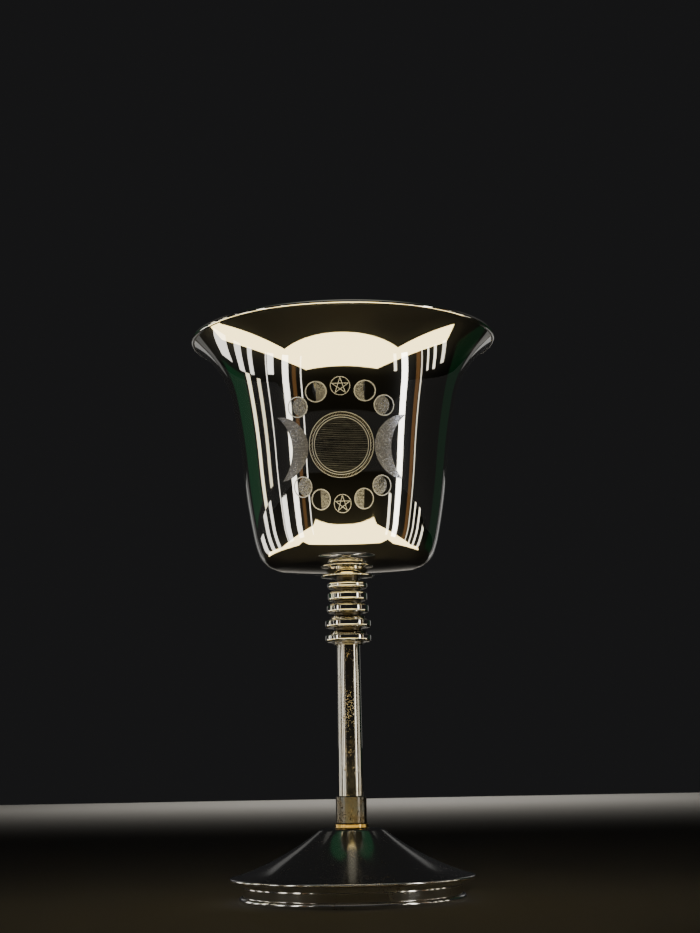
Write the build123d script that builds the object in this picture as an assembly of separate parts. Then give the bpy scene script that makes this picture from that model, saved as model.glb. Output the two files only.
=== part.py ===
from build123d import *
import math
import os

# A stemmed metal goblet. Millimetres, +Z up, the origin on its axis in the plane that it stands on.
# Radii are measured from the axis and heights from the table, unless a name says otherwise.

# Heights of the pieces that are stacked on the axis, from the table up
foot_height = 21.75         # table to the flat top of the foot
ring_height = 1.65          # bare brass ring under the stem
stem_length = 55.2          # brass ring to the underside of the knop
washer_height = 0.3         # thin washer between the knop and the cup's neck
saucer_height = 3.3         # that washer to the underside of the cup
cup_height = 76.0           # underside of the cup to its mouth

# Cup: spun sheet with a crowned bottom, a slightly convex body and a flared mouth
mouth_radius = 49.5         # outside of the lip
neck_radius = 36.2          # outside, where the flare begins
neck_drop = 20.6            # mouth to the start of the flare
waist_radius = 32.9         # outside, where the body turns from hollow to full
waist_drop = 42.5           # mouth to the waist
belly_radius = 29.55        # outside, where the body begins to draw in towards the heel
belly_rise = 11.0           # underside of the cup to the belly
heel_radius = 28.0          # outside, where the wall turns under
heel_rise = 5.5             # underside of the cup to the heel
corner_run = 6.14           # how far the rounded corner comes in from the heel
floor_rise = 0.85           # how far the crowned bottom has risen at the corner's end
cup_wall = 0.9
lip_bead_radius = 0.75      # rounded edge that is rolled round the mouth

# Saucer and neck: one turned piece soldered under the cup
saucer_radius = 8.4
saucer_edge = 0.5           # thickness of the saucer's edge
saucer_dish = 0.3           # how far the edge stands above the saucer's middle
boss_radius = 5.6           # boss between the saucer and the cup
boss_flare = 1.2            # how far the boss spreads where it meets the cup
cup_neck_radius = 3.7
cup_neck_height = 1.1

# Threads are plain cylinders at their outer size
stud_radius = 2.5           # threaded stud under the cup
stud_engaged = 7.2          # length of the stud below the neck, inside the knop
stud_head_radius = 4.0
stud_head_height = 0.8
rod_radius = 2.5            # threaded rod that ties the stem to the foot
rod_engaged = 8.0           # length of the rod inside the knop
rod_tail = 1.5              # rod standing out below the nut
rod_bevel = 0.4             # bevel at the ends of the stud and the rod
thread_gap = 0.05           # radial clearance of a screwed or sliding fit
socket_extra = 1.5          # room past the end of the stud

# Knop: one turned piece with five rings, from the top down: (radius, height, sloping shoulder's height)
knop_rings = [
    (6.4, 2.0, 0.0),
    (6.3, 2.8, 0.0),
    (6.7, 2.7, 0.0),
    (7.3, 3.6, 1.5),
    (7.3, 3.4, 1.4),
]
groove_height = 1.1
groove_radius = 4.3
ring_rounding = 0.8         # at the edges of the rings
groove_rounding = 0.3       # in the corners of the grooves
lip_rounding = 0.2
shoulder_run = 1.9          # how far a sloping shoulder comes in from its ring
knop_lip_radius = 4.7
knop_lip_height = 0.9

# Stem tube, which widens slightly downwards, and the ferrule over its foot
tube_top_radius = 3.65
tube_foot_radius = 3.9
rod_room = 0.35             # radial room between the rod and the tube
tube_seat = 2.5             # length of the tube inside the knop
ferrule_height = 8.3
ferrule_wall = 0.85
ferrule_bevel = 0.35
solder_gap = 0.03           # radial clearance of a soldered fit
ring_overhang = 0.5         # how far the brass ring stands out past the ferrule

# Foot: a spun trumpet-shaped shell on a turned band with a half-round bead at the table
foot_radius = 38.0          # outside of the flange
flange_height = 7.4         # upper surface of the flange at its edge
flange_bead_radius = 0.55   # rounded edge of the flange
crown_radius = 8.7          # flat top of the foot
shoulder_radius = 10.5      # end of the rounded shoulder
shoulder_drop = 0.62
sweep_radius = 22.7         # middle of the hollow sweep
sweep_height = 13.3
foot_wall = 0.9
flange_overhang = 4.1       # how far the flange stands out past the band
band_wall = 1.1
cove_radius = 2.6           # hollow moulding between the band and the flange
bead_height = 1.9
bead_overhang = 1.2         # how far the bead stands out past the band
score_height = 2.7          # fine turned line, measured from the band's lower edge
score_depth = 0.18

# Fastening under the foot
foot_washer_radius = 8.0
foot_washer_height = 1.2
spring_washer_radius = 4.4
spring_washer_height = 1.2
spring_washer_gap = 0.9
nut_across_flats = 8.0
nut_height = 4.0
nut_bevel = 0.5
bolt_hole_gap = 0.25        # radial clearance of the rod's plain holes

# Heights worked out from the stack
ring_base = foot_height
tube_base = ring_base + ring_height
knop_base = tube_base + stem_length
knop_height = knop_lip_height + sum(ring[1] for ring in knop_rings) + groove_height * (len(knop_rings) - 1)
knop_top = knop_base + knop_height
saucer_base = knop_top + washer_height
cup_base = saucer_base + saucer_height
cup_top = cup_base + cup_height

# Radii that follow from the pieces they fit
floor_radius = heel_radius - corner_run
rod_hole_radius = rod_radius + bolt_hole_gap
tube_bore = rod_radius + rod_room
ferrule_bore = tube_foot_radius + solder_gap
ferrule_radius = ferrule_bore + ferrule_wall
band_radius = foot_radius - flange_overhang
band_bore = band_radius - band_wall


def turned(edges):
    # a solid of revolution about Z from a closed outline of (radius, height)
    return revolve(Plane.XZ * make_face(edges), Axis.Z)


def turned_polygon(points):
    return turned(Polyline(*points, close=True))


def tube_between(inner, outer, low, high):
    return turned_polygon([(inner, low), (outer, low), (outer, high), (inner, high)])


def rod_between(radius, low, high):
    return turned_polygon([(0, low), (radius, low), (radius, high), (0, high)])


def tangent_arcs(start, direction, ends):
    # arcs from end to end, each leaving in the direction in which the last one arrived
    arcs = []
    for end in ends:
        arc = TangentArc(start, end, tangent=direction)
        arcs.append(arc)
        start = arc @ 1
        direction = arc % 1
    return arcs


def beside(arc, position, distance):
    # a point to the left of the arc, seen along its direction
    direction = arc % position
    return arc @ position + Vector(-direction.Y, direction.X) * distance


def offset_arcs(arcs, distance):
    ends = [beside(arc, 1, distance) for arc in arcs]
    return tangent_arcs(beside(arcs[0], 0, distance), arcs[0] % 0, ends)


# Cup

def lip_centre():
    return Vector(mouth_radius - lip_bead_radius, cup_top - lip_bead_radius)


def cup_wall_arcs():
    # the outside of the cup from the middle of its bottom up to the bead round the lip
    into_bead = cup_wall / 2 * math.sin(math.pi / 4)
    ends = [
        (floor_radius, cup_base + floor_rise),
        (heel_radius, cup_base + heel_rise),
        (belly_radius, cup_base + belly_rise),
        (waist_radius, cup_top - waist_drop),
        (neck_radius, cup_top - neck_drop),
        lip_centre() + Vector(into_bead, -into_bead),
    ]
    return tangent_arcs((0, cup_base), (1, 0), ends)


def cup_bowl():
    outside = cup_wall_arcs()
    inside = offset_arcs(outside, cup_wall)
    middle = Line(outside[0] @ 0, inside[0] @ 0)
    lip = Line(outside[-1] @ 1, inside[-1] @ 1)
    wall = turned(outside + [lip] + inside + [middle])
    bead = Plane.XZ * (Pos(lip_centre().X, lip_centre().Y) * Circle(lip_bead_radius))
    return wall + revolve(bead, Axis.Z)


def crown_point(radius):
    # a point on the underside of the cup, whose crown is an arc centred on the axis
    crown = cup_wall_arcs()[0].radius
    return Vector(radius, cup_base + crown - math.sqrt(crown ** 2 - radius ** 2))


def crown_arc(first, last):
    middle = (first + last) / 2
    return ThreePointArc(crown_point(first), crown_point(middle), crown_point(last))


def cup_saucer():
    neck_top = saucer_base + cup_neck_height
    edge_low = Vector(saucer_radius - saucer_edge / 2, neck_top + saucer_dish)
    edge_high = edge_low + Vector(0, saucer_edge)
    boss_foot = Vector(boss_radius, edge_high.Y)
    boss_top = boss_radius + boss_flare
    recess = stud_head_radius + solder_gap
    recess_floor = cup_base - stud_head_height
    bore = stud_radius + solder_gap
    return turned([
        Line((bore, saucer_base), (cup_neck_radius, saucer_base)),
        Line((cup_neck_radius, saucer_base), (cup_neck_radius, neck_top)),
        TangentArc((cup_neck_radius, neck_top), edge_low, tangent=(1, 0)),
        TangentArc(edge_low, edge_high, tangent=(1, 0)),
        Line(edge_high, boss_foot),
        Line(boss_foot, crown_point(boss_top)),
        crown_arc(boss_top, recess),
        Line(crown_point(recess), (recess, recess_floor)),
        Line((recess, recess_floor), (bore, recess_floor)),
        Line((bore, recess_floor), (bore, saucer_base)),
    ])


def cup_stud():
    tip = saucer_base - stud_engaged
    neck = cup_base - stud_head_height
    shank = Polyline(
        (0, cup_base),
        (0, tip),
        (stud_radius - rod_bevel, tip),
        (stud_radius, tip + rod_bevel),
        (stud_radius, neck),
        (stud_head_radius, neck),
        crown_point(stud_head_radius),
    )
    return turned([shank, crown_arc(stud_head_radius, 0)])


def stud_washer():
    return tube_between(stud_radius + thread_gap, cup_neck_radius - 0.2, knop_top, saucer_base)


# Stem

def knop_outline():
    # down the outside of the rings: (radius, height, rounding) of each corner
    corners = []
    height = knop_top
    for number, (radius, ring, shoulder) in enumerate(knop_rings):
        top_radius = radius - (shoulder_run if shoulder else 0)
        corners.append((top_radius, height, ring_rounding))
        if shoulder:
            corners.append((radius, height - shoulder, ring_rounding))
        height -= ring
        corners.append((radius, height, ring_rounding))
        if number < len(knop_rings) - 1:
            corners.append((groove_radius, height, groove_rounding))
            height -= groove_height
            corners.append((groove_radius, height, groove_rounding))
    corners.append((knop_lip_radius, height, lip_rounding))
    corners.append((knop_lip_radius, knop_base, lip_rounding))
    return corners


def stem_knop():
    corners = knop_outline()
    points = [(0, knop_top)] + [corner[:2] for corner in corners] + [(0, knop_base)]
    side = FilletPolyline(*points, radius=[corner[2] for corner in corners])
    knop = turned([side, Line(points[-1], points[0])])
    knop -= rod_between(stud_radius + thread_gap, knop_top - stud_engaged - socket_extra, knop_top)
    knop -= rod_between(rod_radius + solder_gap, knop_base, knop_base + rod_engaged)
    return knop - rod_between(tube_top_radius + solder_gap, knop_base, knop_base + tube_seat)


def stem_tube():
    taper_foot = tube_base + ferrule_height
    seat_top = knop_base + tube_seat
    return turned_polygon([
        (tube_bore, tube_base),
        (tube_foot_radius, tube_base),
        (tube_foot_radius, taper_foot),
        (tube_top_radius, knop_base),
        (tube_top_radius, seat_top),
        (tube_bore, seat_top),
    ])


def stem_ferrule():
    top = tube_base + ferrule_height
    return turned_polygon([
        (ferrule_bore, tube_base),
        (ferrule_radius, tube_base),
        (ferrule_radius, top - ferrule_bevel),
        (ferrule_radius - ferrule_bevel, top),
        (ferrule_bore, top),
    ])


def stem_ring():
    ring = tube_between(rod_hole_radius, ferrule_radius + ring_overhang, ring_base, tube_base)
    rims = ring.edges().filter_by(GeomType.CIRCLE).filter_by(lambda rim: rim.radius > ferrule_radius)
    return fillet(rims, ring_height / 4)


def tie_rod():
    low = nut_base() - rod_tail
    rod = rod_between(rod_radius, low, knop_base + rod_engaged)
    return chamfer(rod.edges().filter_by(GeomType.CIRCLE), rod_bevel)


# Foot

def foot_arcs():
    # the upper surface of the foot from its flat top out to the bead round the flange
    ends = [
        (shoulder_radius, foot_height - shoulder_drop),
        (sweep_radius, sweep_height),
        (foot_radius - flange_bead_radius, flange_height),
    ]
    return tangent_arcs((crown_radius, foot_height), (1, 0), ends)


def foot_shell():
    upper = foot_arcs()
    lower = offset_arcs(upper, -foot_wall)
    underside = foot_height - foot_wall
    shell = turned(upper + lower + [
        Line(upper[-1] @ 1, lower[-1] @ 1),
        Line((rod_hole_radius, foot_height), (crown_radius, foot_height)),
        Line((rod_hole_radius, underside), (rod_hole_radius, foot_height)),
        Line((rod_hole_radius, underside), lower[0] @ 0),
    ])
    bead_centre = Pos(foot_radius - flange_bead_radius, flange_height - foot_wall / 2)
    return shell + revolve(Plane.XZ * (bead_centre * Circle(flange_bead_radius)), Axis.Z)


def above_foot_underside():
    # everything over the underside of the shell, to trim what is soldered to it
    lower = offset_arcs(foot_arcs(), -foot_wall)
    start = lower[0] @ 0
    end = lower[-1] @ 1
    high = foot_height + foot_wall
    return turned(lower + [
        Line(end, (foot_radius + 1, end.Y)),
        Line((foot_radius + 1, end.Y), (foot_radius + 1, high)),
        Line((foot_radius + 1, high), (0, high)),
        Line((0, high), (0, start.Y)),
        Line((0, start.Y), start),
    ])


def foot_band():
    score = bead_height + score_height
    cove_start = score + score_depth
    over = foot_height
    cove_end = (band_radius + cove_radius, cove_start + cove_radius)
    outline = [
        Line((band_bore, bead_height), (band_radius, bead_height)),
        Line((band_radius, bead_height), (band_radius, score - score_depth)),
        Line((band_radius, score - score_depth), (band_radius - score_depth, score)),
        Line((band_radius - score_depth, score), (band_radius, cove_start)),
        TangentArc((band_radius, cove_start), cove_end, tangent=(0, 1)),
        Line(cove_end, (cove_end[0], over)),
        Line((cove_end[0], over), (band_bore, over)),
        Line((band_bore, over), (band_bore, bead_height)),
    ]
    return turned(outline) - above_foot_underside()


def foot_bead():
    outer = band_radius + bead_overhang - bead_height / 2
    return turned([
        Line((band_bore, 0), (outer, 0)),
        TangentArc((outer, 0), (outer, bead_height), tangent=(1, 0)),
        Line((outer, bead_height), (band_bore, bead_height)),
        Line((band_bore, bead_height), (band_bore, 0)),
    ])


# Fastening under the foot

def foot_washer_base():
    return foot_height - foot_wall - foot_washer_height


def spring_washer_base():
    return foot_washer_base() - spring_washer_height


def nut_base():
    return spring_washer_base() - nut_height


def foot_washer():
    return tube_between(rod_hole_radius, foot_washer_radius, foot_washer_base(), foot_height - foot_wall)


def spring_washer():
    ring = tube_between(rod_hole_radius, spring_washer_radius, spring_washer_base(), foot_washer_base())
    middle = (rod_hole_radius + spring_washer_radius) / 2
    slot = Box(spring_washer_radius, spring_washer_gap, spring_washer_height * 2)
    return ring - Pos(middle, 0, spring_washer_base() + spring_washer_height / 2) * slot


def hex_nut():
    corner_radius = nut_across_flats / 2 / math.cos(math.pi / 6)
    prism = Pos(0, 0, nut_base()) * extrude(RegularPolygon(corner_radius, 6), nut_height)
    top = nut_base() + nut_height
    flat_radius = nut_across_flats / 2
    bevels = turned_polygon([
        (0, nut_base()),
        (flat_radius, nut_base()),
        (flat_radius + 2 * nut_bevel, nut_base() + nut_bevel),
        (flat_radius + 2 * nut_bevel, top),
        (0, top),
    ])
    return (prism & bevels) - rod_between(rod_radius + solder_gap, nut_base(), top)


pieces = {
    "cup_bowl": cup_bowl(),
    "cup_saucer": cup_saucer(),
    "cup_stud": cup_stud(),
    "stud_washer": stud_washer(),
    "stem_knop": stem_knop(),
    "stem_tube": stem_tube(),
    "stem_ferrule": stem_ferrule(),
    "stem_ring": stem_ring(),
    "tie_rod": tie_rod(),
    "foot_shell": foot_shell(),
    "foot_band": foot_band(),
    "foot_bead": foot_bead(),
    "foot_washer": foot_washer(),
    "spring_washer": spring_washer(),
    "hex_nut": hex_nut(),
}

os.makedirs("parts", exist_ok=True)
for name, shape in pieces.items():
    export_step(shape, f"parts/{name}.step")
print(f"goblet {cup_top:.2f} mm tall, mouth {2 * mouth_radius:.1f} mm, foot {2 * foot_radius:.1f} mm")
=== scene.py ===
import math

import bpy
import numpy as np
from mathutils import Matrix, Vector
from mathutils.geometry import delaunay_2d_cdt


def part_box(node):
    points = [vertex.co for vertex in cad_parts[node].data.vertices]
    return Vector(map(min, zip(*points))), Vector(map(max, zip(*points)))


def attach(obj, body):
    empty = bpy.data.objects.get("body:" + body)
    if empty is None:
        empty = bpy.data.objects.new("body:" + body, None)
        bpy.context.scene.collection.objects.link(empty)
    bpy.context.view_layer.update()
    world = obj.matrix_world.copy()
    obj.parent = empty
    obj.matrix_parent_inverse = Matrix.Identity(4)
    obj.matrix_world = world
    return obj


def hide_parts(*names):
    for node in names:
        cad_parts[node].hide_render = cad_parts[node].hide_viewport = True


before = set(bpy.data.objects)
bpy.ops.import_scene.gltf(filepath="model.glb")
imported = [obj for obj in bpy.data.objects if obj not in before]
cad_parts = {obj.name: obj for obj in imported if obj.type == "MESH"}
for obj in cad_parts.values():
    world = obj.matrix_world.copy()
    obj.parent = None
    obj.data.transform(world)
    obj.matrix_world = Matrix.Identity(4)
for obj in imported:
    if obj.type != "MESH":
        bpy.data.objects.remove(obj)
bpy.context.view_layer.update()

mm = 0.001
print("frame loaded")


# Camera

view = {
    "distance": 525.4 * mm,  # from the goblet's axis
    "height": 40.84 * mm,
    "swing": 1.8,            # degrees round the goblet, to the right of the engraving's middle
    "pan": 0.17,             # degrees to the right
    "tiltUp": 10.27,
    "roll": 1.07,
    "lens": 63.76,           # mm on a 36 mm sensor
}


def makeCamera():
    swing, pan, tilt, roll = (math.radians(view[key]) for key in ("swing", "pan", "tiltUp", "roll"))
    place = Vector((math.sin(swing), -math.cos(swing), 0)) * view["distance"]
    place.z = view["height"]
    level = Vector((math.sin(pan - swing), math.cos(pan - swing), 0))
    right = Vector((level.y, -level.x, 0))
    forward = level * math.cos(tilt) + Vector((0, 0, math.sin(tilt)))
    up = right.cross(forward)
    rolledRight = right * math.cos(roll) - up * math.sin(roll)
    rolledUp = right * math.sin(roll) + up * math.cos(roll)
    turn = Matrix((rolledRight, rolledUp, -forward)).transposed().to_4x4()
    data = bpy.data.cameras.new("camera")
    data.lens = view["lens"]
    data.clip_start = 0.01
    camera = bpy.data.objects.new("camera", data)
    camera.matrix_world = Matrix.Translation(place) @ turn
    bpy.context.scene.collection.objects.link(camera)
    bpy.context.scene.camera = camera


makeCamera()
print("camera placed")


# Profiles. A profile is a list of stretches, each a list of rows: radius, height and the outward direction.
# It runs so that the metal is on its left, and where two stretches meet at an angle, the edge is crisp.

def lineStretch(start, end):
    run = Vector(end) - Vector(start)
    out = Vector((run.y, -run.x)).normalized()
    return [(*start, *out), (*end, *out)]


def lineStretches(*points):
    return [lineStretch(start, end) for start, end in zip(points, points[1:])]


def arcStretch(centre, radius, startAngle, endAngle, step=math.radians(7.5)):
    # a negative radius is a hollow arc, whose outward side faces its centre
    count = max(2, math.ceil(abs(endAngle - startAngle) / step))
    side = math.copysign(1, radius)
    rows = []
    for i in range(count + 1):
        angle = startAngle + (endAngle - startAngle) * i / count
        c, s = math.cos(angle), math.sin(angle)
        rows.append((centre[0] + abs(radius) * c, centre[1] + abs(radius) * s, side * c, side * s))
    return rows


def tangentStretch(start, direction, end, spacing):
    # the arc from start to end that leaves in the given direction, and the direction in which it arrives
    start, end = Vector(start), Vector(end)
    chord = end - start
    left = Vector((-direction.y, direction.x))
    lean = chord.dot(left)
    radius = chord.length_squared / (2 * lean)
    centre = start + left * radius
    first = math.atan2(*(start - centre).yx)
    last = math.atan2(*(end - centre).yx)
    sweep = (last - first + math.pi) % (2 * math.pi) - math.pi
    step = min(math.radians(7.5), spacing / abs(radius))
    rows = arcStretch(centre, radius, first, first + sweep, step)
    arrival = (end - centre) / radius
    return rows, Vector((-arrival.y, arrival.x))


def tangentChain(start, direction, ends, spacing):
    rows = []
    for end in ends:
        stretch, direction = tangentStretch(start, direction, end, spacing)
        rows += stretch if not rows else stretch[1:]
        start = end
    return rows


def moved(stretch, distance):
    return [(r + nr * distance, z + nz * distance, nr, nz) for r, z, nr, nz in stretch]


def flipped(stretch):
    return [(r, z, -nr, -nz) for r, z, nr, nz in reversed(stretch)]


def roundedOutline(corners):
    # straight runs between (radius, height, rounding) corners, which go round anticlockwise
    stretches = []
    count = len(corners)
    points = [Vector(corner[:2]) for corner in corners]
    ends = []
    for i in range(count):
        before, here, after = points[i - 1], points[i], points[(i + 1) % count]
        inward, outward = (here - before).normalized(), (after - here).normalized()
        bend = math.atan2(inward.x * outward.y - inward.y * outward.x, inward.dot(outward))
        setBack = corners[i][2] * math.tan(abs(bend) / 2)
        ends.append((here - inward * setBack, here + outward * setBack, bend, inward))
    for i in range(count):
        arcStart, arcEnd, bend, inward = ends[i]
        rounding = corners[i][2]
        if rounding > 0 and abs(bend) > 0.01:
            side = math.copysign(1, bend)
            centre = arcStart + Vector((-inward.y, inward.x)) * rounding * side
            first = math.atan2(*(arcStart - centre).yx)
            stretches.append(arcStretch(centre, rounding * side, first, first + bend, math.radians(18)))
        nextStart = ends[(i + 1) % count][0]
        if (nextStart - arcEnd).length > 1e-6:
            stretches.append(lineStretch(arcEnd, nextStart))
    return stretches


def beadStretch(centre, radius, outerRows, innerRows):
    # keeps what stands clear of the bead, and goes round the bead between the two
    clearOuter = [row for row in outerRows if math.dist(row[:2], centre) > radius]
    clearInner = [row for row in innerRows if math.dist(row[:2], centre) > radius]
    first = math.atan2(clearOuter[-1][1] - centre[1], clearOuter[-1][0] - centre[0])
    last = math.atan2(clearInner[0][1] - centre[1], clearInner[0][0] - centre[0])
    sweep = (last - first) % (2 * math.pi)
    bead = arcStretch(centre, radius, first, first + sweep, math.radians(12))
    clearOuter.append((*bead[0][:2], *clearOuter[-1][2:]))
    clearInner.insert(0, (*bead[-1][:2], *clearInner[0][2:]))
    return clearOuter, bead, clearInner


# Meshes of revolution

joinGap = 1e-4   # points of a profile that are nearer than this are one
onAxis = 1e-6    # and a radius below this is the axis


def ringRows(stretches):
    # the profile's distinct points, and each strip between two of them with its two outward directions
    points, strips = [], []
    for stretch in stretches:
        for i, row in enumerate(stretch):
            here = Vector(row[:2])
            if i == 0:
                if not points or (here - points[-1]).length > joinGap:
                    points.append(here)
                last = len(points) - 1
                continue
            if len(points) > 2 and (here - points[0]).length < joinGap:
                strips.append((last, 0, stretch[i - 1][2:], row[2:]))
                continue
            points.append(here)
            strips.append((last, len(points) - 1, stretch[i - 1][2:], row[2:]))
            last = len(points) - 1
    return points, strips


def turnedFaces(stretches, sides, skip=None):
    # vertices, faces, the outward direction at each corner of each face, and the profile's points with the
    # number of the first vertex on each; a point on the axis is one vertex
    points, strips = ringRows(stretches)
    turns = [(math.cos(2 * math.pi * k / sides), math.sin(2 * math.pi * k / sides)) for k in range(sides)]
    vertices, firstOf = [], []
    for point in points:
        firstOf.append(len(vertices))
        around = [(1, 0)] if point.x < onAxis else turns
        vertices += [(point.x * mm * c, point.x * mm * s, point.y * mm) for c, s in around]
    faces, corners = [], []
    for low, high, lowOut, highOut in strips:
        if points[low].x < onAxis and points[high].x < onAxis:
            continue
        for k in range(sides):
            if skip and skip(low, high, k):
                continue
            face, outs = [], []
            around = ((low, lowOut, k), (low, lowOut, k + 1), (high, highOut, k + 1), (high, highOut, k))
            for point, out, side in around:
                index = firstOf[point] + (0 if points[point].x < onAxis else side % sides)
                if index not in face:
                    c, s = turns[side % sides]
                    face.append(index)
                    outs.append((out[0] * c, out[0] * s, out[1]))
            faces.append(face)
            corners.append(outs)
    return vertices, faces, corners, points, firstOf


def meshPiece(name, vertices, faces, corners, materials, kinds=None):
    mesh = bpy.data.meshes.new(name)
    mesh.from_pydata(vertices, [], faces)
    for material in materials:
        mesh.materials.append(material)
    if kinds:
        mesh.polygons.foreach_set("material_index", kinds)
    mesh.polygons.foreach_set("use_smooth", [True] * len(mesh.polygons))
    mesh.update()
    mesh.normals_split_custom_set([corner for face in corners for corner in face])
    piece = bpy.data.objects.new(name, mesh)
    bpy.context.scene.collection.objects.link(piece)
    return piece


def turnedPiece(name, stretches, sides, material, node, body, slot):
    vertices, faces, corners, _, _ = turnedFaces(stretches, sides)
    place(meshPiece(name, vertices, faces, corners, [material]), node, body, slot)


def place(piece, node, body, slot):
    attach(piece, body)
    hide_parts(node)
    print(f"{piece.name}: {len(piece.data.polygons)} faces")


def heights(node):
    low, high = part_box(node)
    return low.z / mm, high.z / mm


# Materials

def newTree(name):
    material = bpy.data.materials.new(name)
    material.use_nodes = True
    tree = material.node_tree
    tree.nodes.clear()
    return material, tree


def addNode(tree, kind, inputs=None, **settings):
    node = tree.nodes.new(kind)
    for key, value in settings.items():
        setattr(node, key, value)
    for key, value in (inputs or {}).items():
        if isinstance(value, bpy.types.NodeSocket):
            tree.links.new(value, node.inputs[key])
        else:
            node.inputs[key].default_value = value
    return node


def startGroup(name, inputs, outputs):
    tree = bpy.data.node_groups.new(name, "ShaderNodeTree")
    for label, value in inputs.items():
        socket = tree.interface.new_socket(name=label, in_out="INPUT", socket_type="NodeSocketFloat")
        socket.default_value = value
    for label in outputs:
        tree.interface.new_socket(name=label, in_out="OUTPUT", socket_type="NodeSocketFloat")
    return tree, tree.nodes.new("NodeGroupInput"), tree.nodes.new("NodeGroupOutput")


def objectPlace(tree, scale=(1.0, 1.0, 1.0)):
    where = addNode(tree, "ShaderNodeTexCoord").outputs["Object"]
    return addNode(tree, "ShaderNodeMapping", {"Vector": where, "Scale": scale}).outputs["Vector"]


def objectParts(tree):
    return addNode(tree, "ShaderNodeSeparateXYZ", {"Vector": objectPlace(tree)}).outputs


def axisDistance(tree, parts):
    flat = addNode(tree, "ShaderNodeCombineXYZ", {"X": parts["X"], "Y": parts["Y"]}).outputs["Vector"]
    return addNode(tree, "ShaderNodeVectorMath", {0: flat}, operation="LENGTH").outputs["Value"]


def noise(tree, vector, scale, detail=3.0, roughness=0.6, distortion=0.0):
    return addNode(tree, "ShaderNodeTexNoise", {
        "Vector": vector, "Scale": scale, "Detail": detail, "Roughness": roughness, "Distortion": distortion,
    }).outputs["Fac"]


def math2(tree, operation, first, second):
    return addNode(tree, "ShaderNodeMath", {0: first, 1: second}, operation=operation).outputs["Value"]


def ramp(tree, value, low, high, toLow=0.0, toHigh=1.0):
    inputs = {"Value": value, "From Min": low, "From Max": high, "To Min": toLow, "To Max": toHigh}
    return addNode(tree, "ShaderNodeMapRange", inputs).outputs["Result"]


def mixColours(tree, mask, first, second):
    node = addNode(tree, "ShaderNodeMix", data_type="RGBA")
    for socket, value in zip([i for i in node.inputs if i.enabled], (mask, first, second)):
        if isinstance(value, bpy.types.NodeSocket):
            tree.links.new(value, socket)
        else:
            socket.default_value = (*value, 1.0)
    return [o for o in node.outputs if o.enabled][0]


def makeHandlingGroup():
    # smears of a polished surface that is wiped by hand, and fine rub marks round the goblet's axis
    tree, given, made = startGroup(
        "handlingMarks",
        {"Clean": 0.03, "Smeared": 0.12, "Smear Size": 60.0, "Rub Depth": 0.3},
        ["Roughness", "Height"],
    )
    smear = noise(tree, objectPlace(tree), given.outputs["Smear Size"], 5.0, 0.6, 0.8)
    inputs = (given.outputs["Clean"], given.outputs["Smeared"])
    roughness = ramp(tree, smear, 0.46, 0.78, *inputs)
    rub = noise(tree, objectPlace(tree, (110.0, 110.0, 3600.0)), 1.0, 3.0)
    height = math2(tree, "MULTIPLY", rub, given.outputs["Rub Depth"])
    tree.links.new(roughness, made.inputs["Roughness"])
    tree.links.new(height, made.inputs["Height"])
    return tree


def makePittingGroup():
    # small pits and specks where the plate has aged, thicker from High down to Low
    tree, given, made = startGroup(
        "pitting",
        {"Amount": 0.3, "Grain": 1500.0, "Low": 0.0, "High": 0.1},
        ["Mask"],
    )
    specks = noise(tree, objectPlace(tree), given.outputs["Grain"], 4.0, 0.7)
    patches = noise(tree, objectPlace(tree, (1.0, 1.0, 0.5)), 170.0, 2.0)
    height = objectParts(tree)["Z"]
    share = ramp(tree, height, given.outputs["Low"], given.outputs["High"], 1.0, 0.25)
    amount = math2(tree, "MULTIPLY", given.outputs["Amount"], share)
    both = math2(tree, "MULTIPLY", specks, ramp(tree, patches, 0.3, 0.7, 0.7, 1.15))
    edge = math2(tree, "SUBTRACT", 0.68, math2(tree, "MULTIPLY", amount, 0.3))
    mask = ramp(tree, both, edge, math2(tree, "ADD", edge, 0.06))
    tree.links.new(mask, made.inputs["Mask"])
    return tree


def makeTarnishGroup():
    # clouds where the surface has yellowed or darkened
    tree, given, made = startGroup(
        "tarnish",
        {"Size": 60.0, "Start": 0.5, "Full": 0.75},
        ["Mask"],
    )
    clouds = noise(tree, objectPlace(tree, (1.0, 1.0, 0.6)), given.outputs["Size"], 6.0, 0.62, 0.4)
    mask = ramp(tree, clouds, given.outputs["Start"], given.outputs["Full"])
    tree.links.new(mask, made.inputs["Mask"])
    return tree


def makeGrooveShadeGroup():
    # painted shade: darkens a turned piece near its axis so the knop's grooves read as shaded, together with
    # the grime that collects there where no cloth reaches
    tree, given, made = startGroup(
        "grooveShadeAndGrime",
        {"Clear": 0.0055, "Full": 0.0045},
        ["Mask"],
    )
    radius = axisDistance(tree, objectParts(tree))
    mask = ramp(tree, radius, given.outputs["Clear"], given.outputs["Full"])
    tree.links.new(mask, made.inputs["Mask"])
    return tree


def makeTurningGroup():
    # fine rings left by the lathe, both up the sides and across the flat faces
    tree, given, made = startGroup(
        "turningRings",
        {"Pitch": 0.0002, "Depth": 1.0},
        ["Height"],
    )
    parts = objectParts(tree)
    along = math2(tree, "ADD", axisDistance(tree, parts), parts["Z"])
    steps = math2(tree, "DIVIDE", along, given.outputs["Pitch"])
    inputs = {"W": steps, "Scale": 1.0, "Detail": 2.0}
    line = addNode(tree, "ShaderNodeTexNoise", inputs, noise_dimensions="1D")
    height = math2(tree, "MULTIPLY", line.outputs["Fac"], given.outputs["Depth"])
    tree.links.new(height, made.inputs["Height"])
    return tree


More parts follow.
